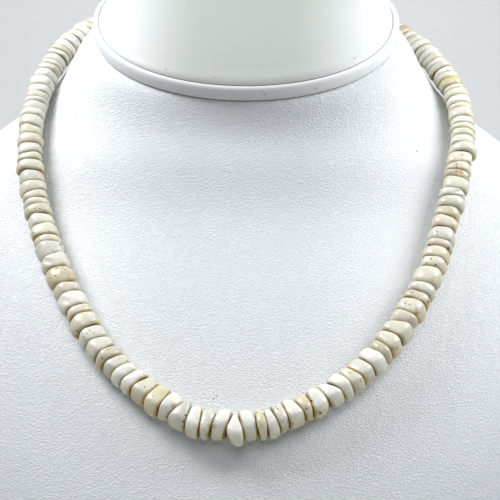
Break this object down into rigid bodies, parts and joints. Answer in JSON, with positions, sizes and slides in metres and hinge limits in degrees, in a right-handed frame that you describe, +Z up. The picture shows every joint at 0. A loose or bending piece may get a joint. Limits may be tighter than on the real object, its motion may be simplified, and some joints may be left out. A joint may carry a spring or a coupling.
{
  "type": "puka shell necklace on a neck bust",
  "caption": "Choker-length string of drilled puka shell discs with a barrel clasp, worn by a white leatherette neck bust that stands on a flat base board.",
  "frame": {"origin": "middle of the underside of the base board, on the surface that the bust stands on", "axes": "+Z up, the chest and the front of the necklace face -Y, +X to the viewer's right as seen from the front"},
  "size_m": [0.1964, 0.1444, 0.1735],
  "materials": {
    "leatherette": "white pebbled leatherette, satin",
    "board": "painted fibreboard, matte",
    "welt_leatherette": "white leatherette stretched over a cord, satin",
    "cap_leatherette": "white pebbled leatherette, satin",
    "thread": "waxed thread, matte",
    "clasp": "plated barrel, satin",
    "shell": "sea-worn shell, polished"
  },
  "bodies": {
    "root": {"bust_form": "leatherette", "base_board": "board", "neck_welt": "welt_leatherette", "neck_cap": "cap_leatherette", "thread": "thread", "clasp": "clasp", "shell_beads_left": "shell", "shell_beads_right": "shell"}
  },
  "joints": []
}
